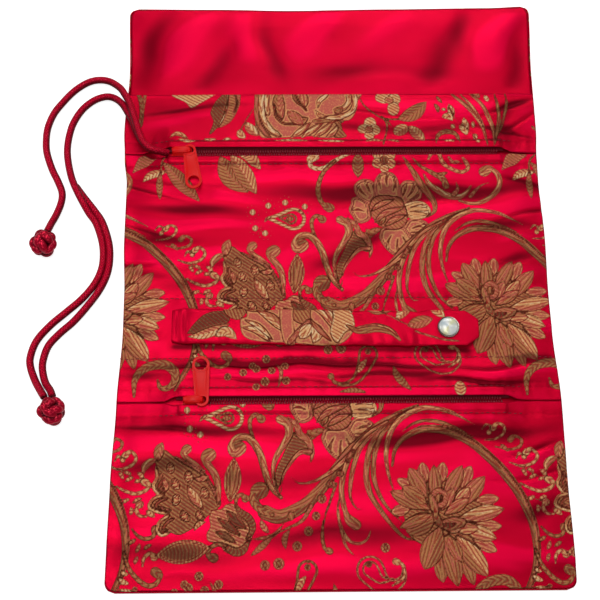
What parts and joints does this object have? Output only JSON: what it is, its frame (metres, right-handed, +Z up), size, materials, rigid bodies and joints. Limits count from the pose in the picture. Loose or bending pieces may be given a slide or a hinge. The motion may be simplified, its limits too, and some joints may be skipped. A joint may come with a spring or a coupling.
{
  "type": "jewelry roll pouch",
  "caption": "Flat padded silk brocade jewelry roll, laid open: two zipped pockets, a snap-down strap for rings, a plain satin flap, and tie cords with button knots at one edge.",
  "frame": {"origin": "middle of the flat underside of the cloth body, on the surface it lies on", "axes": "+Z up out of the opened inside, +Y towards the plain satin flap, +X towards the side without cords"},
  "size_m": [0.2468, 0.2959, 0.0136],
  "materials": {
    "brocade": "shiny satin-weave silk with a woven floral figure in gold, tan and pink-brown thread",
    "satin": "plain shiny red satin",
    "wadding": "soft white fibre felt",
    "zip_tape": "dark red woven tape",
    "zip_coil": "dark red nylon coil",
    "red_paint": "glossy red paint on die-cast metal",
    "snap_metal": "bright plated metal",
    "pearl": "pearly off-white cap",
    "cord": "satin-covered round cord"
  },
  "bodies": {
    "body": {"outer_panel": "brocade", "wadding": "wadding", "lining": "satin", "upper_strip": "brocade", "middle_panel": "brocade", "lower_panel": "brocade", "ring_strap": "brocade", "snap_back_ring": "snap_metal", "snap_stud": "snap_metal", "snap_socket": "snap_metal", "snap_cap_ring": "snap_metal", "snap_pearl": "pearl", "upper_zip_tape_top": "zip_tape", "upper_zip_tape_bottom": "zip_tape", "lower_zip_tape_top": "zip_tape", "lower_zip_tape_bottom": "zip_tape", "upper_zip_coil_top": "zip_coil", "upper_zip_coil_bottom": "zip_coil", "lower_zip_coil_top": "zip_coil", "lower_zip_coil_bottom": "zip_coil", "cord_single": "cord", "cord_double": "cord", "cord_return": "cord", "knot_single": "cord", "knot_double": "cord"},
    "upper_slider": {"upper_slider": "red_paint"},
    "upper_pull": {"upper_pull_tab": "red_paint"},
    "lower_slider": {"lower_slider": "red_paint"},
    "lower_pull": {"lower_pull_tab": "red_paint"}
  },
  "joints": [
    {"name": "upper_slider_travel", "type": "slide", "parent": "body", "child": "upper_slider", "axis": [1, 0, 0], "range_m": [0, 0.149], "deforming": ["upper_zip_coil_top", "upper_zip_coil_bottom"]},
    {"name": "upper_pull_swing", "type": "hinge", "parent": "upper_slider", "child": "upper_pull", "pos_m": [-0.06963, 0.0626, 0.0079], "axis": [0, 0, 1], "range_deg": [-6, 166]},
    {"name": "lower_slider_travel", "type": "slide", "parent": "body", "child": "lower_slider", "axis": [1, 0, 0], "range_m": [0, 0.135], "deforming": ["lower_zip_coil_top", "lower_zip_coil_bottom"]},
    {"name": "lower_pull_swing", "type": "hinge", "parent": "lower_slider", "child": "lower_pull", "pos_m": [-0.06143, -0.0632, 0.0079], "axis": [0, 0, -1], "range_deg": [-3, 168]}
  ]
}
